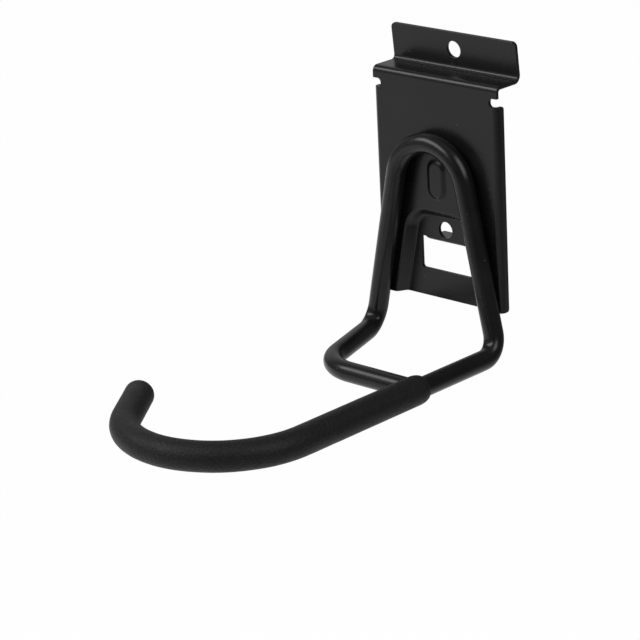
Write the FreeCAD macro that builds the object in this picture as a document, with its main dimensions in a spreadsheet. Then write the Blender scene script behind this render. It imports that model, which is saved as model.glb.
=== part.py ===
import FreeCAD, Part
import math
import os
import Sketcher

# Wall hook: a folded sheet plate, one bent rod welded to its front and a foam sleeve on the arm.
# Frame, mm: origin at the centre of the upper screw hole on the flange's back, +X right, +Z up,
# and the wall behind the hook in +Y, so everything stands out towards -Y.

doc = FreeCAD.newDocument("wall_hook")

# Driving sizes in mm and degrees
driving = {
    # Plate: overall sizes and its step
    "plate_width": 64.6,
    "sheet": 1.5,
    "bend_inside": 1.0,
    "step_depth": 13.8,
    "upper_hole_rise": 8.0,
    "flange_rise": 15.4,
    "flange_lean": 5.6,
    "flange_corner": 2.2,
    "face_height": 95.0,
    # Plate: relief notches, folded lips, screw holes
    "notch_drop": 6.8,
    "notch_width": 3.5,
    "notch_depth": 4.0,
    "lip_depth": 4.5,
    "lip_end_gap": 1.2,
    "lip_corner": 2.4,
    "hole_diameter": 7.0,
    "hole_spacing": 73.4,
    # Plate: raised oval, pressed recess, window and its tab
    "oval_drop": 43.0,
    "oval_width": 9.4,
    "oval_height": 17.0,
    "oval_raise": 0.9,
    "oval_round": 0.7,
    "recess_depth": 4.3,
    "recess_drop": 57.0,
    "recess_top_half": 15.7,
    "recess_wall_run": 2.4,
    "recess_corner": 6.5,
    "press_round": 1.2,
    "window_width": 26.0,
    "window_height": 12.6,
    "window_drop": 70.6,
    "window_corner": 1.1,
    "tab_width": 20.0,
    "tab_relief": 1.1,
    "tab_bend": 1.0,
    # Rod: arch and legs on the plate, then the flat frame below it
    "rod_diameter": 8.25,
    "arch_radius": 18.2,
    "arch_drop": 45.0,
    "leg_splay": 12.2,
    "frame_below_plate": 14.3,
    "leg_bend": 9.0,
    "crossbar_reach": 53.9,
    "corner_left": 16.8,
    "corner_bend": 20.0,
    # Arm, hook end and sleeve
    "arm_reach": 118.55,
    "hook_radius": 39.4,
    "hook_turn": 145.4,
    "tip_length": 27.3,
    "sleeve_diameter": 12.1,
    "sleeve_reach": 50.6,
    "sleeve_end_wall": 3.0,
    "sleeve_end_round": 3.2,
    "sleeve_clearance": 0.1,
    "crossbar_clearance": 0.3,
}

# Places that follow from the sizes
following = {
    "half_width": "=plate_width / 2",
    "half_left": "=-plate_width / 2",
    "wall": "=(upper_hole_rise + sheet) * tan(flange_lean * 1 deg)",
    "face_front": "=wall - step_depth - sheet",
    "face_back": "=face_front + sheet",
    "bend_outside": "=bend_inside + sheet",
    "web_top": "=-upper_hole_rise",
    "web_under": "=web_top - sheet",
    "plate_bottom": "=web_top - face_height",
    "flange_top": "=web_top + flange_rise",
    "flange_top_back": "=-flange_top * tan(flange_lean * 1 deg)",
    "flange_top_front": "=flange_top_back - sheet / cos(flange_lean * 1 deg)",
    "flange_foot_front": "=-web_top * tan(flange_lean * 1 deg) - sheet / cos(flange_lean * 1 deg)",
    "middle": 0,
    "notch_level": "=web_top - notch_drop",
    "notch_radius": "=notch_width / 2",
    "notch_inner": "=half_width - notch_depth + notch_radius",
    "notch_outer": "=half_width + notch_width",
    "notch_inner_left": "=-notch_inner",
    "notch_outer_left": "=-notch_outer",
    "lip_top": "=notch_level - notch_radius",
    "lip_height": "=lip_top - plate_bottom - lip_end_gap",
    "lip_back": "=face_front + lip_depth",
    "lip_inside": "=half_width - sheet",
    "lip_inside_left": "=-lip_inside",
    "lower_hole_level": "=-hole_spacing",
    "oval_radius": "=oval_width / 2",
    "oval_upper": "=web_top - oval_drop + oval_height / 2 - oval_radius",
    "oval_lower": "=web_top - oval_drop - oval_height / 2 + oval_radius",
    "oval_hollow_radius": "=oval_radius - sheet / 2",
    "recess_top": "=web_top - recess_drop",
    "recess_end": "=plate_bottom - 2 * recess_depth - 2 * sheet",
    "recess_slope": "=tan(leg_splay * 1 deg)",
    "recess_end_half": "=recess_top_half + (recess_top - recess_end) * recess_slope",
    "recess_top_left": "=-recess_top_half",
    "recess_end_left": "=-recess_end_half",
    "recess_draft": "=atan(recess_wall_run / recess_depth) / 1 deg",
    "wall_run_back": "=sheet / cos(recess_draft * 1 deg)",
    "bulge_top": "=recess_top + wall_run_back",
    "bulge_side": "=wall_run_back / cos(leg_splay * 1 deg)",
    "bulge_top_half": "=recess_top_half + bulge_side - wall_run_back * recess_slope",
    "bulge_end_half": "=recess_end_half + bulge_side",
    "bulge_top_left": "=-bulge_top_half",
    "bulge_end_left": "=-bulge_end_half",
    "bulge_depth": "=recess_depth + sheet",
    "floor_front": "=face_front + recess_depth",
    "window_top": "=web_top - window_drop",
    "window_bottom": "=window_top - window_height",
    "window_relief": "=window_top + tab_relief",
    "window_half": "=window_width / 2",
    "window_half_left": "=-window_half",
    "tab_half": "=tab_width / 2",
    "tab_half_left": "=-tab_half",
    "tab_top": "=window_top + sheet",
    "trim_end": "=recess_end - sheet",
}

sizes = doc.addObject("Spreadsheet::Sheet", "Sizes")
for row, (name, value) in enumerate({**driving, **following}.items(), start=1):
    sizes.set("A%d" % row, name)
    sizes.set("B%d" % row, str(value))
    sizes.setAlias("B%d" % row, name)
doc.recompute()


def get(name):
    """The current number behind a name of the sheet."""
    return float(sizes.get(name))


def plane(body, role):
    """One of a body's own origin planes."""
    return [item for item in body.Origin.OriginFeatures if item.Role == role][0]


def sketch_on(body, role, name, offset=None):
    """An empty sketch on an origin plane, moved along its normal by a named value."""
    sketch = body.newObject("Sketcher::SketchObject", name)
    sketch.AttachmentSupport = [(plane(body, role), "")]
    sketch.MapMode = "FlatFace"
    if offset:
        sketch.setExpression("AttachmentOffset.Base.z", offset)
    return sketch


def tie(sketch, kind, geometry, point, name):
    """Hold one coordinate of a point at a named value."""
    index = sketch.addConstraint(Sketcher.Constraint(kind, -1, 1, geometry, point, get(name)))
    sketch.setExpression("Constraints[%d]" % index, "Sizes." + name)


def outline(sketch, corners):
    """A closed outline through corners that are pairs of named values."""
    points = [FreeCAD.Vector(get(a), get(b), 0) for a, b in corners]
    first = sketch.GeometryCount
    count = len(points)
    for i in range(count):
        sketch.addGeometry(Part.LineSegment(points[i], points[(i + 1) % count]))
    for i in range(count):
        after = first + (i + 1) % count
        sketch.addConstraint(Sketcher.Constraint("Coincident", first + i, 2, after, 1))
    for i, (a, b) in enumerate(corners):
        tie(sketch, "DistanceX", first + i, 1, a)
        tie(sketch, "DistanceY", first + i, 1, b)


def slot(sketch, start, end, radius):
    """A round-ended slot between two centres that are pairs of named values."""
    a = FreeCAD.Vector(get(start[0]), get(start[1]), 0)
    b = FreeCAD.Vector(get(end[0]), get(end[1]), 0)
    r = get(radius)
    along = (b - a).normalize()
    side = FreeCAD.Vector(-along.y, along.x, 0)
    turn = math.atan2(along.y, along.x)
    axis = FreeCAD.Vector(0, 0, 1)
    quarter = math.pi / 2
    k = sketch.GeometryCount
    sketch.addGeometry(Part.ArcOfCircle(Part.Circle(a, axis, r), turn + quarter, turn + 3 * quarter))
    sketch.addGeometry(Part.LineSegment(a - side * r, b - side * r))
    sketch.addGeometry(Part.ArcOfCircle(Part.Circle(b, axis, r), turn - quarter, turn + quarter))
    sketch.addGeometry(Part.LineSegment(b + side * r, a + side * r))
    for i, j, p, q in ((0, 1, 2, 1), (1, 2, 2, 1), (2, 3, 2, 1), (3, 0, 2, 1)):
        sketch.addConstraint(Sketcher.Constraint("Tangent", k + i, p, k + j, q))
    sketch.addConstraint(Sketcher.Constraint("Equal", k, k + 2))
    for geometry, centre in ((k, start), (k + 2, end)):
        tie(sketch, "DistanceX", geometry, 3, centre[0])
        tie(sketch, "DistanceY", geometry, 3, centre[1])
    index = sketch.addConstraint(Sketcher.Constraint("Radius", k, r))
    sketch.setExpression("Constraints[%d]" % index, "Sizes." + radius)


def hole(sketch, x, z, diameter):
    """A circle at named values."""
    circle = Part.Circle(FreeCAD.Vector(get(x), get(z), 0), FreeCAD.Vector(0, 0, 1), get(diameter) / 2)
    k = sketch.addGeometry(circle)
    tie(sketch, "DistanceX", k, 3, x)
    tie(sketch, "DistanceY", k, 3, z)
    index = sketch.addConstraint(Sketcher.Constraint("Diameter", k, get(diameter)))
    sketch.setExpression("Constraints[%d]" % index, "Sizes." + diameter)


def pad(body, name, sketch, length, both=False, reverse=False, draft=None):
    """Pad a sketch by a named length."""
    feature = body.newObject("PartDesign::Pad", name)
    feature.Profile = sketch
    feature.setExpression("Length", "Sizes." + length)
    feature.Midplane = both
    feature.Reversed = reverse
    if draft:
        feature.setExpression("TaperAngle", "-Sizes." + draft)
    doc.recompute()
    return feature


def pocket(body, name, sketch, length=None, draft=None, reverse=False):
    """Cut a sketch to a named depth, or right through both ways."""
    feature = body.newObject("PartDesign::Pocket", name)
    feature.Profile = sketch
    if length:
        feature.setExpression("Length", "Sizes." + length)
        feature.Reversed = reverse
    else:
        feature.Type = "ThroughAll"
        feature.Midplane = True
    if draft:
        feature.setExpression("TaperAngle", "-Sizes." + draft)
    doc.recompute()
    return feature


def round_edges(body, name, radius, spots):
    """Round the edges of the body's last feature that pass the given spots."""
    base = body.Tip
    chosen = []
    for spot in spots:
        vertex = Part.Vertex(FreeCAD.Vector(*spot))
        gaps = [edge.distToShape(vertex)[0] for edge in base.Shape.Edges]
        chosen.append("Edge%d" % (gaps.index(min(gaps)) + 1))
    feature = body.newObject("PartDesign::Fillet", name)
    feature.Base = (base, sorted(set(chosen)))
    feature.setExpression("Radius", "Sizes." + radius)
    doc.recompute()
    return feature


# Wall plate: the Z-shaped step, padded across the width
plate = doc.addObject("PartDesign::Body", "wall_plate")
plate.Label = "wall_plate"
profile = sketch_on(plate, "YZ_Plane", "StepProfile")
outline(profile, [
    ("face_front", "plate_bottom"), ("face_front", "web_top"), ("flange_foot_front", "web_top"),
    ("flange_top_front", "flange_top"), ("flange_top_back", "flange_top"), ("wall", "web_under"),
    ("face_back", "web_under"), ("face_back", "plate_bottom")])
pad(plate, "Step", profile, "plate_width", both=True)
round_edges(plate, "OuterBends", "bend_outside", [
    (0, get("face_front"), get("web_top")), (0, get("wall"), get("web_under"))])
round_edges(plate, "InnerBends", "bend_inside", [
    (0, get("flange_foot_front"), get("web_top")), (0, get("face_back"), get("web_under"))])
flange_middle = (get("flange_top_front") + get("flange_top_back")) / 2
round_edges(plate, "FlangeCorners", "flange_corner", [
    (get("half_width"), flange_middle, get("flange_top")),
    (get("half_left"), flange_middle, get("flange_top"))])

# Side lips folded back below the relief notches
lips = sketch_on(plate, "XY_Plane", "LipProfile", "Sizes.lip_top")
outline(lips, [("lip_inside", "face_front"), ("half_width", "face_front"),
               ("half_width", "lip_back"), ("lip_inside", "lip_back")])
outline(lips, [("half_left", "face_front"), ("lip_inside_left", "face_front"),
               ("lip_inside_left", "lip_back"), ("half_left", "lip_back")])
pad(plate, "Lips", lips, "lip_height", reverse=True)
lip_bottom = get("lip_top") - get("lip_height")
lip_thick = (get("half_width") + get("lip_inside")) / 2
round_edges(plate, "LipCorners", "lip_corner", [
    (sign * lip_thick, get("lip_back"), level) for sign in (1, -1) for level in (get("lip_top"), lip_bottom)])
notches = sketch_on(plate, "XZ_Plane", "NotchProfile")
slot(notches, ("notch_inner", "notch_level"), ("notch_outer", "notch_level"), "notch_radius")
slot(notches, ("notch_outer_left", "notch_level"), ("notch_inner_left", "notch_level"), "notch_radius")
pocket(plate, "Notches", notches)
lip_middle = get("lip_top") - get("lip_height") / 2
round_edges(plate, "LipBends", "bend_outside", [
    (get("half_width"), get("face_front"), lip_middle), (get("half_left"), get("face_front"), lip_middle)])

# Recess pressed back between the legs and open at the bottom edge
bulge = sketch_on(plate, "XZ_Plane", "BulgeProfile", "-Sizes.face_front")
outline(bulge, [("bulge_end_left", "recess_end"), ("bulge_end_half", "recess_end"),
                ("bulge_top_half", "bulge_top"), ("bulge_top_left", "bulge_top")])
pad(plate, "Bulge", bulge, "bulge_depth", reverse=True, draft="recess_draft")
hollow = sketch_on(plate, "XZ_Plane", "RecessProfile", "-Sizes.face_front")
outline(hollow, [("recess_end_left", "recess_end"), ("recess_end_half", "recess_end"),
                 ("recess_top_half", "recess_top"), ("recess_top_left", "recess_top")])
pocket(plate, "Recess", hollow, "recess_depth", draft="recess_draft")
trim = sketch_on(plate, "XZ_Plane", "BottomTrim")
outline(trim, [("bulge_end_left", "trim_end"), ("bulge_end_half", "trim_end"),
               ("bulge_end_half", "plate_bottom"), ("bulge_end_left", "plate_bottom")])
pocket(plate, "BottomEdge", trim)
half_run = get("recess_wall_run") / 2
corner_x = get("recess_top_half") - half_run * 0.9
corner_z = get("recess_top") - half_run
corner_y = get("face_front") + get("recess_depth") / 2
round_edges(plate, "RecessCorners", "recess_corner", [
    (corner_x, corner_y, corner_z), (-corner_x, corner_y, corner_z)])
round_edges(plate, "RecessRim", "press_round", [(0, get("face_front"), get("recess_top"))])
round_edges(plate, "RecessFloor", "press_round", [
    (0, get("floor_front"), get("recess_top") - get("recess_wall_run"))])

# Raised oval inside the arch, hollow behind
oval = sketch_on(plate, "XZ_Plane", "OvalProfile", "-Sizes.face_front")
slot(oval, ("middle", "oval_lower"), ("middle", "oval_upper"), "oval_radius")
pad(plate, "Oval", oval, "oval_raise")
dent = sketch_on(plate, "XZ_Plane", "OvalHollow", "-Sizes.face_back")
slot(dent, ("middle", "oval_lower"), ("middle", "oval_upper"), "oval_hollow_radius")
pocket(plate, "OvalBack", dent, "oval_raise", reverse=True)
oval_top = get("oval_upper") + get("oval_radius")
round_edges(plate, "OvalRim", "oval_round", [(0, get("face_front") - get("oval_raise"), oval_top)])

# Window, and the tab bent back to the wall from its top edge
window = sketch_on(plate, "XZ_Plane", "WindowProfile")
outline(window, [
    ("window_half_left", "window_bottom"), ("window_half", "window_bottom"),
    ("window_half", "window_relief"), ("tab_half", "window_relief"), ("tab_half", "window_top"),
    ("tab_half_left", "window_top"), ("tab_half_left", "window_relief"),
    ("window_half_left", "window_relief")])
pocket(plate, "Window", window)
tab = sketch_on(plate, "YZ_Plane", "TabProfile")
outline(tab, [("floor_front", "window_top"), ("wall", "window_top"),
              ("wall", "tab_top"), ("floor_front", "tab_top")])
pad(plate, "Tab", tab, "tab_width", both=True)
round_edges(plate, "TabBend", "tab_bend", [(0, get("floor_front"), get("window_top"))])
floor_middle = get("floor_front") + get("sheet") / 2
round_edges(plate, "WindowCorners", "window_corner", [
    (get("window_half"), floor_middle, get("window_bottom")),
    (get("window_half_left"), floor_middle, get("window_bottom"))])

# Screw holes through the flange and the recess floor
holes = sketch_on(plate, "XZ_Plane", "HoleProfile")
hole(holes, "middle", "middle", "hole_diameter")
hole(holes, "middle", "lower_hole_level", "hole_diameter")
pocket(plate, "ScrewHoles", holes)


def vec(x, y, z):
    return FreeCAD.Vector(x, y, z)


def bent_path(points, radii):
    """Straight runs through the points, joined by tangent arcs of the given radii."""
    edges = []
    start = points[0]
    for i, radius in enumerate(radii):
        corner = points[i + 1]
        back = (points[i] - corner).normalize()
        ahead = (points[i + 2] - corner).normalize()
        half = back.getAngle(ahead) / 2
        reach = radius / math.tan(half)
        centre = corner + (back + ahead).normalize() * (radius / math.sin(half))
        inward = (corner - centre).normalize()
        entry = corner + back * reach
        leave = corner + ahead * reach
        edges.append(Part.makeLine(start, entry))
        edges.append(Part.Arc(entry, centre + inward * radius, leave).toShape())
        start = leave
    edges.append(Part.makeLine(start, points[-1]))
    return edges


def round_bar(edges, radius):
    """A solid round bar along tangent edges."""
    first = edges[0]
    begin = first.Vertexes[0].Point
    direction = first.tangentAt(first.FirstParameter)
    section = Part.Wire(Part.makeCircle(radius, begin, direction))
    return Part.Wire(edges).makePipeShell([section], True, True)


rod_radius = get("rod_diameter") / 2
rod_plane = get("face_front") - rod_radius
frame_level = get("plate_bottom") - get("frame_below_plate")
splay = math.radians(get("leg_splay"))
arch_radius = get("arch_radius")
arch_centre = vec(0, rod_plane, get("web_top") - get("arch_drop"))
tangent_x = arch_radius * math.cos(splay)
tangent_z = arch_centre.z + arch_radius * math.sin(splay)
arm_x = tangent_x + (tangent_z - frame_level) * math.tan(splay)
crossbar_y = get("face_front") - get("crossbar_reach")
hook_y = get("face_front") - get("arm_reach")
sleeve_y = get("face_front") - get("sleeve_reach")
turn = math.radians(get("hook_turn"))
hook_radius = get("hook_radius")
hook_centre = vec(arm_x - hook_radius, hook_y, frame_level)


def on_hook(angle):
    """A point of the hook end's arc, by the angle turned since the straight arm."""
    return hook_centre + vec(math.cos(angle), -math.sin(angle), 0) * hook_radius


hook_end = on_hook(turn)
tip_way = vec(-math.sin(turn), -math.cos(turn), 0)
hook_arc = Part.Arc(on_hook(0), on_hook(turn / 2), hook_end).toShape()
tip = hook_end + tip_way * get("tip_length")
rod_tip = tip - tip_way * get("sleeve_end_wall")

# Rod: hook end, arm, right leg, arch and left leg, to the middle of the short run
right_foot = vec(arm_x, rod_plane, frame_level)
left_foot = vec(-arm_x, rod_plane, frame_level)
arch_right = vec(tangent_x, rod_plane, tangent_z)
arch_left = vec(-tangent_x, rod_plane, tangent_z)
corner = vec(-get("corner_left"), crossbar_y, frame_level)
run_middle = left_foot + (corner - left_foot) * 0.45
right_side = bent_path([on_hook(0), right_foot, arch_right], [get("leg_bend")])
arch_top = arch_centre + vec(0, 0, arch_radius)
arch = Part.Arc(arch_right, arch_top, arch_left).toShape()
left_side = bent_path([arch_left, left_foot, run_middle], [get("leg_bend")])
tip_run = Part.makeLine(rod_tip, hook_end)
hook_back = Part.Arc(hook_end, on_hook(turn / 2), on_hook(0)).toShape()
long_bar = round_bar([tip_run, hook_back] + right_side + [arch] + left_side, rod_radius)
arm_joint = vec(arm_x, crossbar_y, frame_level)
crossbar = round_bar(bent_path([run_middle, corner, arm_joint], [get("corner_bend")]), rod_radius)
rod = doc.addObject("Part::Feature", "hook_rod")
rod.Label = "hook_rod"
rod.Shape = long_bar.fuse(crossbar).removeSplitter()

# Sleeve over the arm and the hook end, closed at the tip and notched for the crossbar
sleeve_start = vec(arm_x, sleeve_y, frame_level)
straight = Part.makeLine(sleeve_start, on_hook(0))
skin = round_bar([straight, hook_arc, Part.makeLine(hook_end, tip)], get("sleeve_diameter") / 2)
rim = [edge for edge in skin.Edges
       if abs(edge.CenterOfMass.sub(tip).Length) < 0.01 and len(edge.Vertexes) == 1]
skin = skin.makeFillet(get("sleeve_end_round"), rim)
bore_radius = rod_radius + get("sleeve_clearance")
lead = vec(arm_x, sleeve_y + rod_radius, frame_level)
bore_end = rod_tip + tip_way * get("sleeve_clearance")
bore = round_bar([Part.makeLine(lead, on_hook(0)), hook_arc, Part.makeLine(hook_end, bore_end)], bore_radius)
notch_radius = rod_radius + get("crossbar_clearance")
notch_reach = get("sleeve_diameter")
notch_cut = Part.makeCylinder(notch_radius, notch_reach, arm_joint, vec(-1, 0, 0))
notch_mouth = Part.makeBox(notch_reach, get("sleeve_diameter"), 2 * notch_radius,
                           arm_joint + vec(-notch_reach, 0, -notch_radius))
sleeve = doc.addObject("Part::Feature", "grip_sleeve")
sleeve.Label = "grip_sleeve"
sleeve.Shape = skin.cut(bore).cut(notch_cut).cut(notch_mouth)
doc.recompute()

nodes = [plate, rod, sleeve]
for item in doc.Objects:
    if "Invalid" in item.State or "Error" in item.State:
        raise RuntimeError("%s did not compute" % item.Name)
for node in nodes:
    shape = node.Shape
    if shape.isNull() or not shape.isValid() or len(shape.Solids) != 1:
        raise RuntimeError("%s has no valid single solid" % node.Label)

os.makedirs("parts", exist_ok=True)
for node in nodes:
    node.Shape.exportStep("parts/" + node.Label + ".step")
    box = node.Shape.BoundBox
    print(node.Label, "volume", round(node.Shape.Volume, 1),
          "x", round(box.XMin, 2), round(box.XMax, 2), "y", round(box.YMin, 2), round(box.YMax, 2),
          "z", round(box.ZMin, 2), round(box.ZMax, 2))
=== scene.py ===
"""Garage utility hook: a folded steel plate, a bent round rod and a foam sleeve on the hook end."""

import math

import bmesh
import bpy
from bpy.props import FloatProperty, FloatVectorProperty, PointerProperty
from mathutils import Euler, Matrix, Vector


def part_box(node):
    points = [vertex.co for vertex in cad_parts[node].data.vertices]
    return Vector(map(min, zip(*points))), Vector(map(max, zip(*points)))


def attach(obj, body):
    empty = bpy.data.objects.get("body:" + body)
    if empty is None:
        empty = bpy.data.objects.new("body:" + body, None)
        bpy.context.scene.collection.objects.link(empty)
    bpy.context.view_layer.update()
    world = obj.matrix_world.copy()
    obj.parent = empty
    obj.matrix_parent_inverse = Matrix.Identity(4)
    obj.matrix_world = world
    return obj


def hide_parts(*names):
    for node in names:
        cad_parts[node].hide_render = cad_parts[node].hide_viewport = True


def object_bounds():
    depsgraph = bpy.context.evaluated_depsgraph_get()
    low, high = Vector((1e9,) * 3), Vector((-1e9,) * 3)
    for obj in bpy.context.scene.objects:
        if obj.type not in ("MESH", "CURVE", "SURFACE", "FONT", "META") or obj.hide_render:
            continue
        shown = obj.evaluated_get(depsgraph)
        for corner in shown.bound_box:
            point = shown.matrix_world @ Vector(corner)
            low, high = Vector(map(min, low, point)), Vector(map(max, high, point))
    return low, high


bl_info = {
    "name": "Garage Utility Hook",
    "version": (1, 0, 0),
    "blender": (4, 5, 0),
    "location": "View3D > Sidebar > Hook",
    "description": "Models a wall hook from a folded plate, a bent rod and a foam sleeve",
    "category": "Object",
}

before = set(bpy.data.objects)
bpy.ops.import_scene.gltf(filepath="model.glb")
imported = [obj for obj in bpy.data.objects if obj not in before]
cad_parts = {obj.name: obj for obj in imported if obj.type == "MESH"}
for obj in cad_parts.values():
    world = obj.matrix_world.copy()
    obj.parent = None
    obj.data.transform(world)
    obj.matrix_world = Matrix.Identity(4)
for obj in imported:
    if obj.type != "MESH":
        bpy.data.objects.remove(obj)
cad_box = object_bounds()
plate_low, plate_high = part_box("wall_plate")
MM = 0.001
HAIR = 1e-6
# A vertex this near to a spot is the one meant there
AT_SPOT = 50 * HAIR
# An upright face's normal has at least this much of y
UPRIGHT = 0.9
# Corners that make a round end get this share of its full radius, so that they just don't meet
ROUND_END = 0.9995
# Share of a pressed wall's run that each of its rounded edges takes up
SOFT_EDGE = 0.42
# Sides of the tubes, gaps between their rings, and the least number of rings in a bend
ROD_SIDES, ROD_RING = 48, 1.2 * MM
FOAM_SIDES, FOAM_RING = 64, 1.5 * MM
LEAST_RINGS = 12
# Shares of the rod's diameter: the spot in a foot's bend that is pressed flat, and how far that reaches
FLAT_SPOT, FLAT_REACH = 0.1, 0.45


def length(name, description, millimetres):
    """A length property, given in millimetres and kept in metres."""
    return FloatProperty(name=name, description=description, default=millimetres * MM, unit="LENGTH",
                         precision=5)


def angle(name, description, degrees):
    """An angle property, given in degrees."""
    return FloatProperty(name=name, description=description, default=math.radians(degrees),
                         subtype="ANGLE")


def share(name, description, default):
    """A plain number from 0 to 1."""
    return FloatProperty(name=name, description=description, default=default, min=0.0, max=1.0,
                         subtype="FACTOR")


def colour(name, description, default):
    """A linear colour."""
    return FloatVectorProperty(name=name, description=description, default=default, min=0.0, max=1.0,
                               subtype="COLOR")


def lamp_power(name, description, watts):
    """The power of a light, in watts."""
    return FloatProperty(name=name, description=description, default=watts, unit="POWER")


class PlateSizes(bpy.types.PropertyGroup):
    """Sizes of the folded plate"""

    sheet: length("Sheet", "Thickness of the steel sheet", 1.5)
    bend: length("Bend", "Outside radius of the folds", 2.5)
    heel: length("Heel", "Inside radius of the fold between the web and the flange", 1.8)
    step: length("Step", "Depth from the flange's foot to the back of the face", 13.8)
    flange_rise: length("Flange rise", "Height of the flange above the web", 15.4)
    flange_lean: angle("Flange lean", "How far the flange's top leans forward", 5.6)
    flange_corner: length("Flange corner", "Radius of the flange's upper corners", 2.2)
    hole: length("Hole", "Diameter of both screw holes", 7.0)
    hole_spacing: length("Hole spacing", "Distance from the upper hole down to the lower hole", 73.4)
    notch_drop: length("Notch drop", "Middle of the relief notches below the web", 6.8)
    notch_height: length("Notch height", "Height of the relief notches", 3.5)
    notch_depth: length("Notch depth", "How far the notches reach in from the sides", 4.0)
    lip_depth: length("Lip depth", "How far the side lips fold back", 4.5)
    lip_end: length("Lip end", "Distance from the bottom edge up to the lips", 1.2)
    lip_corner: length("Lip corner", "Radius of the lips' free corners", 1.3)
    oval_drop: length("Oval drop", "Middle of the raised oval below the web", 43.0)
    oval_width: length("Oval width", "Width of the raised oval", 9.4)
    oval_height: length("Oval height", "Height of the raised oval", 17.0)
    oval_raise: length("Oval raise", "How far the oval stands out of the face", 0.9)
    oval_run: length("Oval run", "Width of the oval's sloping edge", 1.5)
    recess_drop: length("Recess drop", "Upper edge of the pressed recess below the web", 57.0)
    recess_half: length("Recess half width", "Half width of the recess at its upper edge", 15.7)
    recess_splay: angle("Recess splay", "Slant of the recess's sides", 12.2)
    recess_depth: length("Recess depth", "How far the recess is pressed back", 4.3)
    recess_run: length("Recess run", "Width of the recess's sloping wall", 2.4)
    recess_corner: length("Recess corner", "Radius of the recess's upper corners", 11.0)
    window_drop: length("Window drop", "Upper edge of the window below the web", 70.6)
    window_height: length("Window height", "Height of the window", 12.6)
    window_width: length("Window width", "Width of the window", 26.0)
    window_corner: length("Window corner", "Radius of the window's lower corners", 1.1)
    tab_width: length("Tab width", "Width of the tab bent back from the window", 20.0)
    tab_relief: length("Tab relief", "Height of the reliefs beside the tab", 1.1)
    tab_bend: length("Tab bend", "Radius of the tab's fold", 1.5)
    tab_droop: length("Tab droop", "How far the tab's end hangs below its fold", 1.0)
    tab_clear: length("Tab clearance", "How far the tab's front side ends short of the wall", 0.15)
    edge_round: length("Edge round", "Radius that the coating leaves on cut edges", 0.22)


class RodSizes(bpy.types.PropertyGroup):
    """Sizes of the bent rod"""

    diameter: length("Diameter", "Diameter of the rod", 8.25)
    arch_radius: length("Arch radius", "Centre line radius of the arch", 18.2)
    arch_drop: length("Arch drop", "Centre of the arch below the web", 45.0)
    splay: angle("Splay", "How far the legs splay outwards", 12.2)
    frame_drop: length("Frame drop", "Level part of the rod below the plate", 14.3)
    foot_bend: length("Foot bend", "Centre line radius where the legs turn forward", 9.0)
    foot_dent: length("Foot dent", "How far the inside of a foot's bend is flattened", 0.65)
    crossbar_reach: length("Crossbar reach", "Distance from the face to the crossbar", 53.9)
    corner_left: length("Corner", "Distance from the middle to the crossbar's corner", 16.8)
    corner_bend: length("Corner bend", "Centre line radius of the crossbar's corner", 20.0)
    arm_reach: length("Arm reach", "Distance from the face to the start of the hook end", 118.55)
    hook_radius: length("Hook radius", "Centre line radius of the hook end", 39.4)
    hook_turn: angle("Hook turn", "Angle that the hook end turns through", 145.4)
    tip: length("Tip", "Straight length at the tip", 27.3)


class SleeveSizes(bpy.types.PropertyGroup):
    """Sizes of the foam sleeve"""

    diameter: length("Diameter", "Outside diameter of the foam", 12.1)
    reach: length("Reach", "Distance from the face to the sleeve's open end", 50.6)
    end_wall: length("End wall", "Foam in front of the rod's tip", 3.0)
    end_round: length("End round", "Radius of the closed end", 3.2)
    mouth_round: length("Mouth round", "Length over which the skin rounds off to the open end", 4.5)
    mouth_draw: length("Mouth draw", "How far the skin draws in at the open end", 1.4)
    mouth_dish: length("Mouth dish", "How far the open end's face is dished", 0.3)
    fit: length("Fit", "Gap between the rod and the foam", 0.1)
    crossbar_fit: length("Crossbar fit", "Gap between the crossbar and its notch", 0.3)
    unevenness: length("Unevenness", "How far the foam's skin wanders", 0.12)
    hills: length("Hills", "Size of the soft hills in the foam's skin", 9.0)


class Finishes(bpy.types.PropertyGroup):
    """Colours of the two finishes"""

    coat: colour("Powder coat", "Colour of the coating", (0.009, 0.009, 0.0095))
    coat_thin: colour("Thin coat", "Colour where the coating is thinner", (0.0065, 0.0065, 0.0069))
    dust: colour("Dust", "Colour of the few specks on the coating", (0.09, 0.09, 0.09))
    coat_gloss: share("Coat gloss", "Specular level of the coating", 0.29)
    foam: colour("Foam", "Colour of the foam's skin", (0.0115, 0.0115, 0.012))
    # Painted shade: the foam's pores get this darker colour where the skin's relief is lowest
    foam_pore_shade: colour("Foam pore", "Colour inside the foam's pores", (0.006, 0.006, 0.0063))
    foam_gloss: share("Foam gloss", "Specular level of the foam", 0.22)
    foam_sheen: share("Foam sheen", "Pale sheen where the foam turns away", 0.015)


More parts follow.
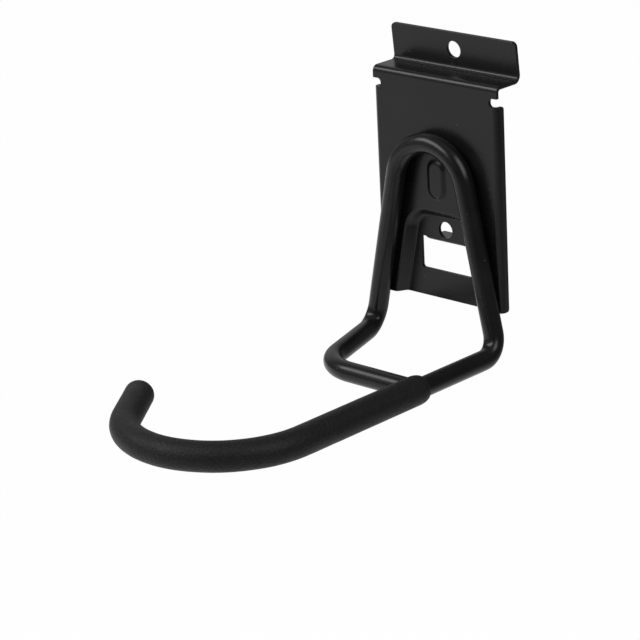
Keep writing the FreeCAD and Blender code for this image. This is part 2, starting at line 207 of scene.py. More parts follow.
class StageSettings(bpy.types.PropertyGroup):
    """Camera, lights and floor"""

    floor_drop: length("Floor drop", "Floor below the hook", 500.0)
    floor_width: length("Floor width", "Width and length of the floor", 40000.0)
    floor_colour: colour("Floor", "Colour of the floor", (0.8, 0.8, 0.8))
    floor_glow: share("Floor glow", "Share of the floor's look that is its own glow", 0.985)
    floor_far: share("Far floor", "Tone that the mirrored floor falls off to far away", 0.15)
    ambient: share("Ambient", "Strength of the grey studio around the hook", 0.1)
    ceiling: share("Ceiling", "Strength of the studio overhead", 0.35)
    glow: share("Glow", "Strength that the bright parts of the studio add", 0.4)
    light_distance: length("Light distance", "Distance from the hook to both lights", 1700.0)
    key_power: lamp_power("Key power", "Power of the main soft light", 19.5)
    key_azimuth: angle("Key azimuth", "Main light to the right of the plate's front", -35.0)
    key_elevation: angle("Key elevation", "Main light above the horizon", 42.0)
    key_width: length("Key width", "Width of the main light", 1600.0)
    key_height: length("Key height", "Height of the main light", 690.0)
    side_power: lamp_power("Side power", "Power of the soft light on the right", 13.0)
    side_azimuth: angle("Side azimuth", "Side light to the right of the plate's front", 88.0)
    side_elevation: angle("Side elevation", "Side light above the horizon", 40.0)
    side_size: length("Side size", "Width and height of the side light", 1100.0)
    sensor: FloatProperty(name="Sensor", description="Sensor's width in millimetres", default=36.0)
    lens: FloatProperty(name="Lens", description="Focal length", default=166.317, unit="CAMERA")
    azimuth: angle("Azimuth", "Camera to the right of the plate's front", 43.578)
    elevation: angle("Elevation", "Camera above the horizon", 19.2925)
    roll: angle("Roll", "Tilt of the camera about its own axis", -2.859)
    place: FloatVectorProperty(name="Place", description="Camera's place", subtype="TRANSLATION",
                               default=(0.74799, -0.87232, 0.29013))


# Hand tools shared by the pieces


def start_piece(name):
    """Name the primitive that was just added, and put its place into its mesh."""
    piece = bpy.context.object
    piece.name = name
    piece.data.name = name
    bpy.ops.object.transform_apply(location=True, rotation=True, scale=True)
    bpy.ops.object.mode_set(mode="EDIT")
    return piece


def choose(piece, kind, test):
    """Select the vertices, edges or faces that pass the test; at least one has to."""
    bpy.ops.mesh.select_mode(type=kind)
    bpy.ops.mesh.select_all(action="DESELECT")
    shape = bmesh.from_edit_mesh(piece.data)
    shape.normal_update()
    items = {"VERT": shape.verts, "EDGE": shape.edges, "FACE": shape.faces}[kind]
    chosen = [item for item in items if test(item)]
    if not chosen:
        raise RuntimeError(f"nothing to select on {piece.name}")
    for item in chosen:
        item.select_set(True)
    shape.select_flush_mode()
    bmesh.update_edit_mesh(piece.data)


def middle_of(edge):
    """The middle of an edge."""
    return (edge.verts[0].co + edge.verts[1].co) / 2


def near(spots):
    """A test for vertices at the given spots."""
    return lambda vertex: any((vertex.co - spot).length < AT_SPOT for spot in spots)


def across(level, depth):
    """A test for edges that run across the sheet at a level and a depth."""
    return lambda edge: all(abs(v.co.z - level) < HAIR and abs(v.co.y - depth) < HAIR for v in edge.verts)


def extrude(way):
    """Extrude what is selected along a vector."""
    bpy.ops.mesh.extrude_region_move(TRANSFORM_OT_translate={"value": tuple(way)})


def extrude_in_steps(way, count):
    """Extrude what is selected along a vector, with rings on the way."""
    for _ in range(count):
        extrude(way / count)


def apply_modifier(piece, kind, **settings):
    """Add a modifier with its settings and apply it."""
    modifier = piece.modifiers.new(kind.title(), kind)
    for name, value in settings.items():
        setattr(modifier, name, value)
    bpy.ops.object.modifier_apply(modifier=modifier.name)


def shade_smooth(degrees):
    """Shade the current piece smooth, apart from edges that turn more than an angle."""
    bpy.ops.object.shade_smooth_by_angle(angle=math.radians(degrees))


def finish_piece(piece, node, material):
    """Hand a finished mesh over: it stands for its solid and wears its finish."""
    piece.data.materials.clear()
    piece.data.materials.append(material)
    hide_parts(node)
    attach(piece, "root")


# Upright panels of the sheet, seen from the front as x and z


def panel_at(x, z):
    """A test for the upright face of the sheet that lies around a spot."""
    def test(face):
        if abs(face.normal.y) < UPRIGHT:
            return False
        inside = False
        for loop in face.loops:
            a, b = loop.vert.co, loop.link_loop_next.vert.co
            if (a.z > z) != (b.z > z) and x < a.x + (z - a.z) * (b.x - a.x) / (b.z - a.z):
                inside = not inside
        return inside
    return test


def cut(piece, spot, point, normal):
    """Cut the upright face around a spot along a plane."""
    choose(piece, "FACE", panel_at(*spot))
    bpy.ops.mesh.bisect(plane_co=point, plane_no=normal, threshold=HAIR / 10)


def cut_level(piece, spot, level):
    """Cut the upright face around a spot at a level."""
    cut(piece, spot, (0, 0, level), (0, 0, 1))


def cut_upright(piece, spot, x):
    """Cut the upright face around a spot along an upright line."""
    cut(piece, spot, (x, 0, 0), (1, 0, 0))


def join_level(piece, level, test):
    """Take out the level cut lines whose middle passes the test."""
    def level_line(edge):
        on_level = all(abs(vertex.co.z - level) < HAIR for vertex in edge.verts)
        upright = all(abs(face.normal.y) > UPRIGHT for face in edge.link_faces)
        return on_level and upright and len(edge.link_faces) == 2 and test(middle_of(edge).x)
    choose(piece, "EDGE", level_line)
    bpy.ops.mesh.dissolve_edges(use_verts=False)


def cut_panel(piece, half, low, high):
    """Cut a rectangle about the middle line; it stays tied to the sheet at half height only."""
    middle = (low + high) / 2
    cut_level(piece, (0, middle + HAIR), middle)
    for level in (high, low):
        spot = (0, (middle + level) / 2)
        cut_level(piece, spot, level)
        cut_upright(piece, spot, half)
        cut_upright(piece, spot, -half)
        join_level(piece, level, lambda x: abs(x) > half)
    join_level(piece, middle, lambda x: abs(x) < half)


def round_corners(piece, spots, radius, turn=math.pi / 2, segments=8):
    """Round the corners of an outline at the given (x, z) spots."""
    def corner(vertex):
        return any(math.hypot(vertex.co.x - x, vertex.co.z - z) < AT_SPOT for x, z in spots)
    choose(piece, "VERT", corner)
    bpy.ops.mesh.bevel(offset=radius * math.tan(turn / 2), segments=segments, affect="VERTICES",
                       clamp_overlap=False)
    bpy.ops.mesh.select_all(action="SELECT")
    bpy.ops.mesh.remove_doubles(threshold=20 * HAIR)


def take_out(piece, spot):
    """Delete the upright face around a spot."""
    choose(piece, "FACE", panel_at(*spot))
    bpy.ops.mesh.delete(type="FACE")


def press(piece, spot, run, depth):
    """Press the panel around a spot back by a depth, with a sloping wall of the given run."""
    choose(piece, "FACE", panel_at(*spot))
    bpy.ops.mesh.inset(thickness=run, use_boundary=False, use_even_offset=True)
    bpy.ops.transform.translate(value=(0, depth, 0))


def soften(piece, low, high, half, offset, segments=5):
    """Round the pressed edges inside a box of levels and half width."""
    def pressed(edge):
        spot = middle_of(edge)
        inside = low < spot.z < high and abs(spot.x) < half
        return inside and len(edge.link_faces) == 2 and edge.calc_face_angle() > math.radians(20)
    choose(piece, "EDGE", pressed)
    bpy.ops.mesh.bevel(offset=offset, segments=segments, affect="EDGES", clamp_overlap=False)


class HOOK_OT_wall_plate(bpy.types.Operator):
    """Fold and press the wall plate from one sheet"""

    bl_idname = "hook.wall_plate"
    bl_label = "Wall plate"

    def execute(self, context):
        """Make the sheet, cut and press it, then give it its thickness."""
        s = context.scene.hook_plate
        self.half = plate_high.x
        self.bottom = plate_low.z
        self.web = plate_high.z - s.flange_rise
        self.face = plate_high.y - s.step - s.sheet
        self.floor = self.face + s.recess_depth
        piece = self.fold_sheet(s)
        self.cut_sides(piece, s)
        self.fold_lips(piece, s)
        self.cut_hole(piece, s, 0.0)
        self.press_oval(piece, s)
        self.press_recess(piece, s)
        self.cut_hole(piece, s, -s.hole_spacing)
        self.cut_window(piece, s)
        bpy.ops.object.mode_set(mode="OBJECT")
        apply_modifier(piece, "SOLIDIFY", thickness=s.sheet, offset=-1.0, use_even_offset=True,
                       use_quality_normals=True)
        apply_modifier(piece, "BEVEL", width=s.edge_round, segments=2, limit_method="ANGLE",
                       angle_limit=math.radians(60), use_clamp_overlap=False)
        shade_smooth(46)
        apply_modifier(piece, "WEIGHTED_NORMAL", weight=80, keep_sharp=True)
        finish_piece(piece, "wall_plate", powder_coat(context.scene.hook_finishes))
        return {"FINISHED"}

    def fold_sheet(self, s):
        """The face, the web and the flange as the front of one sheet."""
        height = self.web - self.bottom
        bpy.ops.object.select_all(action="DESELECT")
        bpy.ops.mesh.primitive_plane_add(size=1, location=(0, self.face, self.bottom + height / 2),
                                         rotation=(math.pi / 2, 0, 0))
        bpy.context.object.scale = (2 * self.half, height, 1)
        piece = start_piece("plate")
        lean = math.tan(s.flange_lean)
        slant = s.sheet / math.cos(s.flange_lean)
        foot = -self.web * lean - slant
        choose(piece, "EDGE", lambda edge: all(v.co.z > self.web - HAIR for v in edge.verts))
        extrude((0, foot - self.face, 0))
        rise = s.flange_rise - s.sheet * math.sin(s.flange_lean)
        extrude((0, -rise * lean, rise))
        choose(piece, "EDGE", across(self.web, self.face))
        bpy.ops.mesh.bevel(offset=s.bend, segments=8, affect="EDGES")
        choose(piece, "EDGE", across(self.web, foot))
        heel_turn = math.pi / 2 + s.flange_lean
        bpy.ops.mesh.bevel(offset=s.heel * math.tan(heel_turn / 2), segments=10, affect="EDGES")
        top = self.web + rise
        round_corners(piece, [(side * self.half, top) for side in (1, -1)], s.flange_corner)
        return piece

    def cut_sides(self, piece, s):
        """Relief notches, and the face narrowed to the fold lines of the lips."""
        notch_top = self.web - s.notch_drop + s.notch_height / 2
        notch_low = notch_top - s.notch_height
        lip_low = self.bottom + s.lip_end
        inner = self.half - s.notch_depth
        fold = self.half - s.bend
        band = (notch_top + notch_low) / 2
        body = (notch_low + self.bottom) / 2
        foot = (lip_low + self.bottom) / 2
        for level in (notch_top, notch_low, lip_low):
            cut_level(piece, (0, body), level)
        for level, x in ((band, inner), (body, fold), (foot, fold)):
            for side in (1, -1):
                cut_upright(piece, (0, level), side * x)
                take_out(piece, (side * (self.half + x) / 2, level))
        for level, x in ((notch_top, inner), (notch_low, inner), (lip_low, fold)):
            join_level(piece, level, lambda mid: abs(mid) < x)
        notch_corners = [(side * inner, level) for side in (1, -1) for level in (notch_top, notch_low)]
        notch_round = 0.9999 * (s.notch_depth - s.bend)
        round_corners(piece, notch_corners, notch_round)
        foot_corners = [(side * fold, self.bottom) for side in (1, -1)]
        foot_round = 0.9 * s.lip_end
        round_corners(piece, foot_corners, foot_round, segments=4)

    def fold_lips(self, piece, s):
        """Side lips folded back along both sides."""
        notch_low = self.web - s.notch_drop - s.notch_height / 2
        lip_low = self.bottom + s.lip_end
        fold = self.half - s.bend
        for side in (1, -1):
            def fold_line(edge):
                on_line = all(abs(v.co.x - side * fold) < 2 * HAIR for v in edge.verts)
                return on_line and lip_low < middle_of(edge).z < notch_low
            choose(piece, "EDGE", fold_line)
            axis_spot = (side * fold, self.face + s.bend, 0)
            bpy.ops.mesh.spin(steps=8, angle=-side * math.pi / 2, center=axis_spot, axis=(0, 0, 1))
            extrude((0, s.lip_depth - s.bend, 0))
        back = self.face + s.lip_depth
        choose(piece, "VERT", near([Vector((side * self.half, back, level))
                                    for side in (1, -1) for level in (notch_low, lip_low)]))
        bpy.ops.mesh.bevel(offset=s.lip_corner, segments=6, affect="VERTICES", clamp_overlap=False)

    def cut_hole(self, piece, s, level):
        """A round screw hole: a square whose corners are rounded until they all but meet."""
        radius = s.hole / 2
        cut_panel(piece, radius, level - radius, level + radius)
        corners = [(x, z) for x in (radius, -radius) for z in (level - radius, level + radius)]
        round_corners(piece, corners, radius * ROUND_END)
        take_out(piece, (0, level + radius / 2))

    def press_oval(self, piece, s):
        """The raised oval between the legs."""
        middle = self.web - s.oval_drop
        low, high = middle - s.oval_height / 2, middle + s.oval_height / 2
        half = s.oval_width / 2
        cut_panel(piece, half, low, high)
        corners = [(x, z) for x in (half, -half) for z in (low, high)]
        round_corners(piece, corners, half * ROUND_END, segments=10)
        press(piece, (0, middle + HAIR), s.oval_run, -s.oval_raise)
        soften(piece, low - MM, high + MM, half + MM, SOFT_EDGE * s.oval_run, segments=4)

    def press_recess(self, piece, s):
        """The recess pressed back between the legs, open at the bottom edge."""
        top = self.web - s.recess_drop
        slope = math.tan(s.recess_splay)
        spot = (0, (top + self.bottom) / 2)
        cut_level(piece, spot, top)
        for side in (1, -1):
            cut(piece, spot, (side * s.recess_half, 0, top), (side, 0, slope))
        join_level(piece, top, lambda x: abs(x) > s.recess_half)
        turn = math.pi / 2 - s.recess_splay
        round_corners(piece, [(side * s.recess_half, top) for side in (1, -1)], s.recess_corner, turn)
        press(piece, spot, s.recess_run, s.recess_depth)
        reach = self.half - s.bend - MM
        soften(piece, self.bottom - MM, top + MM, reach, SOFT_EDGE * s.recess_run)

    def cut_window(self, piece, s):
        """The window in the recess's floor, and the tab bent back to the wall from its upper edge."""
        top = self.web - s.window_drop
        low, relief = top - s.window_height, top + s.tab_relief
        half, tab = s.window_width / 2, s.tab_width / 2

        def choose_relief(reach):
            choose(piece, "EDGE", lambda edge: all(
                abs(v.co.z - relief) < HAIR and abs(v.co.x) < reach + HAIR for v in edge.verts))
        cut_panel(piece, half, low, relief)
        for side in (1, -1):
            choose_relief(half)
            bpy.ops.mesh.bisect(plane_co=(side * tab, 0, 0), plane_no=(1, 0, 0), threshold=HAIR / 10)
        round_corners(piece, [(half, low), (-half, low)], s.window_corner, segments=5)
        take_out(piece, (0, (top + low) / 2 + HAIR))
        choose_relief(tab)
        extrude((0, 0, -s.tab_relief))
        extrude((0, plate_high.y - self.floor - s.tab_clear, -s.tab_droop))
        choose(piece, "EDGE", across(top, self.floor))
        bpy.ops.mesh.bevel(offset=s.tab_bend, segments=5, affect="EDGES", clamp_overlap=False)


# Tubes that run straight and bend


def hook_places(rod):
    """The corners of the rod's route, from the tip round to the end of the crossbar."""
    plate = bpy.context.scene.hook_plate
    radius = rod.diameter / 2
    web = plate_high.z - plate.flange_rise
    face = plate_high.y - plate.step - plate.sheet
    level = plate_low.z - rod.frame_drop
    out = face - radius
    arch_z = web - rod.arch_drop
    apex_z = arch_z + rod.arch_radius / math.sin(rod.splay)
    arm = (apex_z - level) * math.tan(rod.splay)
    crossbar = face - rod.crossbar_reach
    hook_y = face - rod.arm_reach
    reach = rod.hook_radius * math.tan(rod.hook_turn / 2)
    bend_corner = Vector((arm, hook_y - reach, level))
    tip_way = Vector((-math.sin(rod.hook_turn), -math.cos(rod.hook_turn), 0))
    return {
        "tip": bend_corner + tip_way * (reach + rod.tip),
        "tip_way": tip_way,
        "hook": bend_corner,
        "right_foot": Vector((arm, out, level)),
        "apex": Vector((0, out, apex_z)),
        "left_foot": Vector((-arm, out, level)),
        "corner": Vector((-rod.corner_left, crossbar, level)),
        "joint": Vector((arm, crossbar, level)),
        "face": face,
    }


def start_tube(name):
    """An empty piece in edit mode."""
    bpy.ops.object.select_all(action="DESELECT")
    bpy.ops.mesh.primitive_circle_add(vertices=3, radius=MM)
    piece = start_piece(name)
    bpy.ops.mesh.delete(type="VERT")
    return piece


def run_tube(points, radii, radius, sides, ring_gap, run_gap=math.inf, last=0.0):
    """Sweep a circle along straight runs and bends, in edit mode of the current piece.

    Rings lie a ring gap apart in the bends and a run gap apart on the runs, and the last step
    has its own length.
    """
    way = (points[1] - points[0]).normalized()
    bpy.ops.mesh.select_all(action="DESELECT")
    bpy.ops.mesh.primitive_circle_add(vertices=sides, radius=radius, location=points[0],
                                      rotation=way.to_track_quat("Z", "Y").to_euler())
    start = points[0]
    for i, bend in enumerate(radii):
        corner = points[i + 1]
        back = (points[i] - corner).normalized()
        ahead = (points[i + 2] - corner).normalized()
        half = back.angle(ahead) / 2
        reach = bend / math.tan(half)
        entry = corner + back * reach
        centre = corner + (back + ahead).normalized() * bend / math.sin(half)
        turn = math.pi - 2 * half
        extrude_in_steps(entry - start, max(1, round((entry - start).length / run_gap)))
        steps = max(LEAST_RINGS, round(turn * bend / ring_gap))
        bpy.ops.mesh.spin(steps=steps, angle=-turn, center=centre, axis=ahead.cross(back).normalized())
        start = corner + ahead * reach
    end = points[-1] - ahead * last
    extrude_in_steps(end - start, max(1, round((end - start).length / run_gap)))
    if last:
        extrude(ahead * last)


class HOOK_OT_rod(bpy.types.Operator):
    """Bend the rod: hook end, arm, legs, arch and crossbar"""

    bl_idname = "hook.rod"
    bl_label = "Rod"

    def execute(self, context):
        """Sweep the rod along its route, and press the inside of its feet flat."""
        rod, sleeve = context.scene.hook_rod, context.scene.hook_sleeve
        at = hook_places(rod)
        route = [at["tip"] - at["tip_way"] * sleeve.end_wall, at["hook"], at["right_foot"], at["apex"],
                 at["left_foot"], at["corner"], at["joint"]]
        bends = [rod.hook_radius, rod.foot_bend, rod.arch_radius, rod.foot_bend, rod.corner_bend]
        piece = start_tube("rod")
        run_tube(route, bends, rod.diameter / 2, ROD_SIDES, ROD_RING)
        bpy.ops.mesh.select_all(action="SELECT")
        bpy.ops.mesh.fill_holes(sides=0)
        bpy.ops.mesh.normals_make_consistent(inside=False)
        for foot in (at["right_foot"], at["left_foot"]):
            i = route.index(foot)
            self.flatten_foot(piece, route[i - 1:i + 2], rod)
        bpy.ops.object.mode_set(mode="OBJECT")
        shade_smooth(40)
        finish_piece(piece, "hook_rod", powder_coat(context.scene.hook_finishes))
        return {"FINISHED"}

    def flatten_foot(self, piece, corners, rod):
        """Flatten the inside of a foot's bend, as bending leaves it."""
        before, foot, after = corners
        back, ahead = (before - foot).normalized(), (after - foot).normalized()
        inward = (back + ahead).normalized()
        centre = foot + inward * rod.foot_bend / math.sin(back.angle(ahead) / 2)
        inside = centre - inward * (rod.foot_bend - rod.diameter / 2)
        choose(piece, "VERT", lambda vertex: (vertex.co - inside).length < rod.diameter * FLAT_SPOT)
        bpy.ops.transform.translate(value=-inward * rod.foot_dent, use_proportional_edit=True,
                                    proportional_edit_falloff="SMOOTH",
                                    proportional_size=rod.diameter * FLAT_REACH)


class HOOK_OT_sleeve(bpy.types.Operator):
    """Slip the foam sleeve over the arm and the hook end"""

    bl_idname = "hook.sleeve"
    bl_label = "Sleeve"

    def execute(self, context):
        """Sweep the skin and the bore, join them at the mouth, and cut the crossbar's notch."""
        rod, sleeve = context.scene.hook_rod, context.scene.hook_sleeve
        at = hook_places(rod)
        mouth = Vector((at["joint"].x, at["face"] - sleeve.reach, at["joint"].z))
        bore_end = at["tip"] - at["tip_way"] * (sleeve.end_wall - sleeve.fit)
        radius, bore = sleeve.diameter / 2, rod.diameter / 2 + sleeve.fit
        piece = start_tube("sleeve")
        skin_start = mouth - Vector((0, sleeve.mouth_round, 0))
        run_tube([skin_start, at["hook"], at["tip"]], [rod.hook_radius], radius, FOAM_SIDES, FOAM_RING,
                 run_gap=FOAM_RING, last=1.2 * sleeve.end_round)
        self.round_mouth(piece, skin_start, radius, sleeve)
        self.close_end(piece, at["tip"], at["tip_way"])
        self.round_end(piece, at["tip"], at["tip_way"], sleeve)
        bore_start = mouth - Vector((0, sleeve.mouth_dish, 0))
        run_tube([bore_start, at["hook"], bore_end], [rod.hook_radius], bore, FOAM_SIDES, FOAM_RING)
        self.close_end(piece, bore_end, at["tip_way"])
        choose(piece, "EDGE", lambda edge: edge.is_boundary)
        bpy.ops.mesh.bridge_edge_loops()
        bpy.ops.mesh.select_all(action="SELECT")
        bpy.ops.mesh.normals_make_consistent(inside=False)
        bpy.ops.object.mode_set(mode="OBJECT")
        self.roughen(piece, sleeve)
        self.cut_notch(piece, at, rod, sleeve)
        shade_smooth(50)
        finish_piece(piece, "grip_sleeve", foam(context.scene.hook_finishes))
        return {"FINISHED"}

    def at_end(self, edge, place, way):
        """True for an edge in the plane across the tube at a place."""
        return all(abs((v.co - place).dot(way)) < 10 * HAIR for v in edge.verts)

    def close_end(self, piece, place, way):
        """Cap the open ring at a place."""
        choose(piece, "EDGE", lambda edge: edge.is_boundary and self.at_end(edge, place, way))
        bpy.ops.mesh.edge_face_add()

    def round_end(self, piece, place, way, sleeve):
        """Round the rim of the closed end."""
        square = math.radians(60)
        choose(piece, "EDGE", lambda edge: edge.is_manifold and self.at_end(edge, place, way)
               and edge.calc_face_angle() > square)
        bpy.ops.mesh.bevel(offset=sleeve.end_round, segments=10, affect="EDGES", clamp_overlap=False)

    def round_mouth(self, piece, start, radius, sleeve, steps=9):
        """Draw the skin in towards its open end, ring by ring."""
        arm_way = Vector((0, 1, 0))
        choose(piece, "EDGE", lambda edge: edge.is_boundary and self.at_end(edge, start, arm_way))
        ring, place = radius, 0.0
        for i in range(1, steps + 1):
            turn = math.pi / 2 * i / steps
            next_ring = radius - sleeve.mouth_draw * (1 - math.cos(turn))
            next_place = sleeve.mouth_round * math.sin(turn)
            extrude((0, next_place - place, 0))
            bpy.ops.transform.resize(value=(next_ring / ring, 1, next_ring / ring))
            ring, place = next_ring, next_place

    def roughen(self, piece, sleeve):
        """A soft wander of the skin, as foam has."""
        wander = bpy.data.textures.new("foam_wander", "CLOUDS")
        wander.noise_scale = sleeve.hills
        apply_modifier(piece, "DISPLACE", texture=wander, strength=sleeve.unevenness, mid_level=0.85,
                       texture_coords="LOCAL")

    def cut_notch(self, piece, at, rod, sleeve):
        """A notch in the mouth for the crossbar."""
        radius = rod.diameter / 2 + sleeve.crossbar_fit
        depth = sleeve.diameter
        bpy.ops.object.select_all(action="DESELECT")
        bpy.ops.mesh.primitive_cylinder_add(vertices=48, radius=radius, depth=depth,
                                            location=at["joint"] - Vector((depth / 2, 0, 0)),
                                            rotation=(0, math.pi / 2, 0))
        cutter = start_piece("notch_cutter")
        choose(cutter, "FACE", lambda face: face.normal.y > 0.001 and abs(face.normal.x) < 0.5)
        extrude((0, depth, 0))
        bpy.ops.mesh.select_all(action="SELECT")
        bpy.ops.mesh.normals_make_consistent(inside=False)
        bpy.ops.object.mode_set(mode="OBJECT")
        bpy.ops.object.select_all(action="DESELECT")
        piece.select_set(True)
        bpy.context.view_layer.objects.active = piece
        apply_modifier(piece, "BOOLEAN", operation="DIFFERENCE", object=cutter, solver="EXACT")
        bpy.data.objects.remove(cutter)


# Finishes


def new_finish(name):
    """A plain node material, with its tree, its shader and the piece's own coordinates."""
    material = bpy.data.materials.new(name)
    material.use_nodes = True
    tree = material.node_tree
    shader = tree.nodes["Principled BSDF"]
    coordinates = tree.nodes.new("ShaderNodeTexCoord").outputs["Object"]
    return material, tree, shader, coordinates


def noise(tree, coordinates, scale, detail, roughness=0.5):
    """A noise field, by the number of its features in a metre."""
    node = tree.nodes.new("ShaderNodeTexNoise")
    node.inputs["Scale"].default_value = scale
    node.inputs["Detail"].default_value = detail
    node.inputs["Roughness"].default_value = roughness
    tree.links.new(coordinates, node.inputs["Vector"])
    return node.outputs["Fac"]


def cells(tree, coordinates, scale, feature="F1"):
    """A field of cells, by the number of cells in a metre."""
    node = tree.nodes.new("ShaderNodeTexVoronoi")
    node.feature = feature
    node.inputs["Scale"].default_value = scale
    tree.links.new(coordinates, node.inputs["Vector"])
    return node


def spread(tree, value, low, high, to_low, to_high):
    """Map a field from one range to another."""
    node = tree.nodes.new("ShaderNodeMapRange")
    for name, number in (("From Min", low), ("From Max", high), ("To Min", to_low), ("To Max", to_high)):
        node.inputs[name].default_value = number
    tree.links.new(value, node.inputs["Value"])
    return node.outputs["Result"]


def blend_colours(tree, factor, first, second):
    """Mix two colours by a field; either may be a colour or a node's output."""
    node = tree.nodes.new("ShaderNodeMix")
    node.data_type = "RGBA"
    tree.links.new(factor, node.inputs["Factor"])
    for source, socket in ((first, node.inputs["A"]), (second, node.inputs["B"])):
        if isinstance(source, bpy.types.NodeSocket):
            tree.links.new(source, socket)
        else:
            socket.default_value = (*source, 1.0)
    return node.outputs["Result"]


def combine(tree, operation, first, second, clamp=False):
    """Two fields joined by an operation of arithmetic."""
    node = tree.nodes.new("ShaderNodeMath")
    node.operation = operation
    node.use_clamp = clamp
    tree.links.new(first, node.inputs[0])
    tree.links.new(second, node.inputs[1])
    return node.outputs["Value"]


def bump(tree, height, distance, strength, under=None):
    """Relief from a height field, on top of another relief."""
    node = tree.nodes.new("ShaderNodeBump")
    node.inputs["Distance"].default_value = distance
    node.inputs["Strength"].default_value = strength
    tree.links.new(height, node.inputs["Height"])
    if under:
        tree.links.new(under, node.inputs["Normal"])
    return node.outputs["Normal"]


def powder_coat(finishes):
    """Satin black powder coat: a fine orange peel, thinner patches and a few specks of dust."""
    found = bpy.data.materials.get("black_powder_coat_finish")
    if found:
        return found
    material, tree, shader, coordinates = new_finish("black_powder_coat_finish")
    peel = noise(tree, coordinates, scale=750, detail=2)
    grain = noise(tree, coordinates, scale=2600, detail=2)
    patches = noise(tree, coordinates, scale=55, detail=4)
    speck = cells(tree, coordinates, scale=170)
    dot = spread(tree, speck.outputs["Distance"], 0.03, 0.05, 1, 0)
    rare = tree.nodes.new("ShaderNodeSeparateColor")
    tree.links.new(speck.outputs["Color"], rare.inputs["Color"])
    dust = combine(tree, "MULTIPLY", dot, spread(tree, rare.outputs["Red"], 0.7, 0.71, 0, 1))
    thickness = spread(tree, patches, 0.35, 0.65, 0, 1)
    coat = blend_colours(tree, thickness, finishes.coat_thin, finishes.coat)
    tree.links.new(blend_colours(tree, dust, coat, finishes.dust), shader.inputs["Base Color"])
    tree.links.new(spread(tree, patches, 0.3, 0.7, 0.24, 0.29), shader.inputs["Roughness"])
    shader.inputs["Specular IOR Level"].default_value = finishes.coat_gloss
    relief = bump(tree, grain, distance=0.02 * MM, strength=0.35)
    relief = bump(tree, peel, distance=0.06 * MM, strength=0.3, under=relief)
    tree.links.new(relief, shader.inputs["Normal"])
    return material


def foam(finishes):
    """Matt black foam: a pebbled skin with fine pores, and painted shade in the pores."""
    material, tree, shader, coordinates = new_finish("black_foam_finish")
    pebble = cells(tree, coordinates, scale=1250, feature="SMOOTH_F1")
    pores = noise(tree, coordinates, scale=1300, detail=3, roughness=0.6)
    patches = noise(tree, coordinates, scale=90, detail=4)
    hollow = spread(tree, pores, 0.36, 0.6, 0, 1)
    # Painted shade: the skin turns to the darker pore colour in the hollows of the pore relief
    skin = blend_colours(tree, hollow, finishes.foam_pore_shade, finishes.foam)
    tree.links.new(skin, shader.inputs["Base Color"])
    tree.links.new(spread(tree, patches, 0.3, 0.7, 0.46, 0.56), shader.inputs["Roughness"])
    shader.inputs["Specular IOR Level"].default_value = finishes.foam_gloss
    shader.inputs["Sheen Weight"].default_value = finishes.foam_sheen
    shader.inputs["Sheen Roughness"].default_value = 0.4
    relief = bump(tree, hollow, distance=0.1 * MM, strength=0.5)
    relief = bump(tree, pebble.outputs["Distance"], distance=0.25 * MM, strength=0.7, under=relief)
    tree.links.new(relief, shader.inputs["Normal"])
    return material


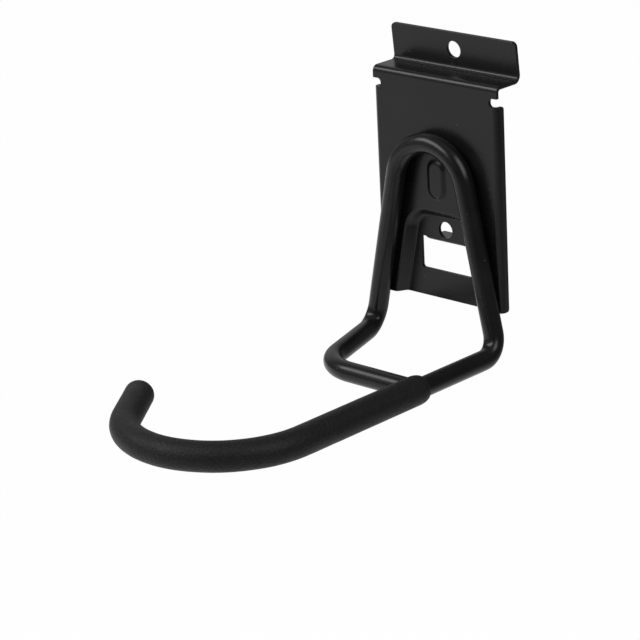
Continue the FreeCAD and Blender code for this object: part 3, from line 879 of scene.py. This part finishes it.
class HOOK_OT_stage(bpy.types.Operator):
    """Lay the floor, set the lights and place the camera"""

    bl_idname = "hook.stage"
    bl_label = "Stage"

    def execute(self, context):
        """Make the floor, the studio, both lights and the camera."""
        stage = context.scene.hook_stage
        self.lay_floor(stage)
        self.set_world(context.scene, stage)
        key_size, side_size = (stage.key_width, stage.key_height), (stage.side_size, stage.side_size)
        self.add_light("key_light", stage.key_azimuth, stage.key_elevation, stage.light_distance,
                       key_size, stage.key_power)
        self.add_light("side_light", stage.side_azimuth, stage.side_elevation, stage.light_distance,
                       side_size, stage.side_power)
        self.place_camera(context.scene, stage)
        context.scene.view_settings.view_transform = "Standard"
        return {"FINISHED"}

    def lay_floor(self, stage):
        """A wide pale floor that glows to the camera and in reflections, and keeps faint shadows."""
        bpy.ops.object.select_all(action="DESELECT")
        level = cad_box[0].z - stage.floor_drop
        bpy.ops.mesh.primitive_plane_add(size=stage.floor_width, location=(0, 0, level))
        floor = bpy.context.object
        floor.name = "floor"
        bpy.ops.object.transform_apply(location=True, rotation=True, scale=True)
        material = bpy.data.materials.new("floor_paint")
        material.use_nodes = True
        tree = material.node_tree
        paint = tree.nodes["Principled BSDF"]
        paint.inputs["Base Color"].default_value = (*stage.floor_colour, 1)
        paint.inputs["Roughness"].default_value = 0.9
        paint.inputs["Specular IOR Level"].default_value = 0.0
        white = tree.nodes.new("ShaderNodeEmission")
        tree.links.new(self.floor_tone(tree, stage, level), white.inputs["Strength"])
        mix = tree.nodes.new("ShaderNodeMixShader")
        seen = spread(tree, self.seen_rays(tree), 0, 1, 0, stage.floor_glow)
        tree.links.new(seen, mix.inputs["Fac"])
        tree.links.new(paint.outputs["BSDF"], mix.inputs[1])
        tree.links.new(white.outputs["Emission"], mix.inputs[2])
        tree.links.new(mix.outputs["Shader"], tree.nodes["Material Output"].inputs["Surface"])
        floor.data.materials.append(material)

    def floor_tone(self, tree, stage, level):
        """White to the camera; in reflections bright on the left, darker far off and behind the hook."""
        bright_spot, bright_until, far_from = (-1.6, -0.9, level), 1.7, 3.9
        dark_spot, dark_until, clear_from, dark_tone = (-0.6, 2.0, level), 0.9, 1.6, 0.35
        lit = spread(tree, self.distance(tree, bright_spot), bright_until, far_from, 1.0, stage.floor_far)
        shade = spread(tree, self.distance(tree, dark_spot), dark_until, clear_from, dark_tone, 1.0)
        camera_ray = tree.nodes.new("ShaderNodeLightPath").outputs["Is Camera Ray"]
        return combine(tree, "MAXIMUM", combine(tree, "MULTIPLY", lit, shade), camera_ray)

    def distance(self, tree, spot):
        """The distance of each point of the surface from a spot."""
        node = tree.nodes.new("ShaderNodeVectorMath")
        node.operation = "DISTANCE"
        node.inputs[1].default_value = spot
        tree.links.new(tree.nodes.new("ShaderNodeTexCoord").outputs["Object"], node.inputs[0])
        return node.outputs["Value"]

    def seen_rays(self, tree):
        """One for camera, glossy and transmission rays, and nought for the rest."""
        path = tree.nodes.new("ShaderNodeLightPath")
        total = path.outputs["Is Camera Ray"]
        for name in ("Is Glossy Ray", "Is Transmission Ray"):
            total = combine(tree, "ADD", total, path.outputs[name], clamp=True)
        return total

    def set_world(self, scene, stage):
        """A grey studio that is brighter overhead and in two glows on the left, one behind the hook."""
        edge, core = 0.75, 0.97
        behind_left, before_left = (-0.77, 0.54, 0.34), (-0.61, -0.73, 0.31)
        world = bpy.data.worlds.new("studio")
        world.use_nodes = True
        tree = world.node_tree
        background = tree.nodes["Background"]
        background.inputs["Color"].default_value = (1, 1, 1, 1)
        direction = tree.nodes.new("ShaderNodeTexCoord").outputs["Generated"]
        height = tree.nodes.new("ShaderNodeSeparateXYZ")
        tree.links.new(direction, height.inputs["Vector"])
        strength = spread(tree, height.outputs["Z"], edge, core, stage.ambient, stage.ceiling)
        for way in (behind_left, before_left):
            facing = tree.nodes.new("ShaderNodeVectorMath")
            facing.operation = "DOT_PRODUCT"
            facing.inputs[1].default_value = Vector(way).normalized()
            tree.links.new(direction, facing.inputs[0])
            glow = spread(tree, facing.outputs["Value"], edge, core, 0, stage.glow)
            strength = combine(tree, "ADD", strength, glow)
        tree.links.new(strength, background.inputs["Strength"])
        scene.world = world

    def add_light(self, name, azimuth, elevation, distance, size, power):
        """A soft box that looks at the middle of the hook from an azimuth and an elevation."""
        middle = (cad_box[0] + cad_box[1]) / 2
        across_floor = math.cos(elevation)
        way = Vector((math.sin(azimuth) * across_floor, -math.cos(azimuth) * across_floor,
                      math.sin(elevation)))
        bpy.ops.object.light_add(type="AREA", location=middle + way * distance,
                                 rotation=way.to_track_quat("Z", "Y").to_euler())
        light = bpy.context.object
        light.name = name
        light.data.shape = "RECTANGLE"
        light.data.size, light.data.size_y = size
        light.data.energy = power

    def place_camera(self, scene, stage):
        """The camera at the photograph's place and angle."""
        turn = Euler((math.pi / 2 - stage.elevation, 0, stage.azimuth)).to_matrix()
        turn = turn @ Matrix.Rotation(stage.roll, 3, "Z")
        bpy.ops.object.camera_add(location=stage.place, rotation=turn.to_euler())
        camera = bpy.context.object
        camera.name = "camera"
        camera.data.sensor_width = stage.sensor
        camera.data.lens = stage.lens
        scene.camera = camera


class HOOK_PT_sidebar(bpy.types.Panel):
    """The hook's pieces and sizes"""

    bl_idname = "HOOK_PT_sidebar"
    bl_label = "Utility hook"
    bl_space_type = "VIEW_3D"
    bl_region_type = "UI"
    bl_category = "Hook"

    def draw(self, context):
        """List each operator with its sizes, then the finishes."""
        groups = (
            ("hook.wall_plate", context.scene.hook_plate),
            ("hook.rod", context.scene.hook_rod),
            ("hook.sleeve", context.scene.hook_sleeve),
            ("hook.stage", context.scene.hook_stage),
        )
        for operator, sizes in groups:
            box = self.layout.box()
            box.operator(operator)
            for name in sizes.__annotations__:
                box.prop(sizes, name)
        finishes = self.layout.box()
        for name in context.scene.hook_finishes.__annotations__:
            finishes.prop(context.scene.hook_finishes, name)


SETTINGS = {
    "hook_plate": PlateSizes,
    "hook_rod": RodSizes,
    "hook_sleeve": SleeveSizes,
    "hook_finishes": Finishes,
    "hook_stage": StageSettings,
}
CLASSES = (
    *SETTINGS.values(),
    HOOK_OT_wall_plate,
    HOOK_OT_rod,
    HOOK_OT_sleeve,
    HOOK_OT_stage,
    HOOK_PT_sidebar,
)


def register():
    """Add the classes and hang the settings on the scene."""
    for item in CLASSES:
        bpy.utils.register_class(item)
    for name, group in SETTINGS.items():
        setattr(bpy.types.Scene, name, PointerProperty(type=group))


def unregister():
    """Take the settings and the classes away again."""
    for name in SETTINGS:
        delattr(bpy.types.Scene, name)
    for item in reversed(CLASSES):
        bpy.utils.unregister_class(item)


def main():
    """Make the hook and its stage."""
    register()
    bpy.ops.hook.wall_plate()
    bpy.ops.hook.rod()
    bpy.ops.hook.sleeve()
    bpy.ops.hook.stage()


if __name__ == "__main__":
    main()
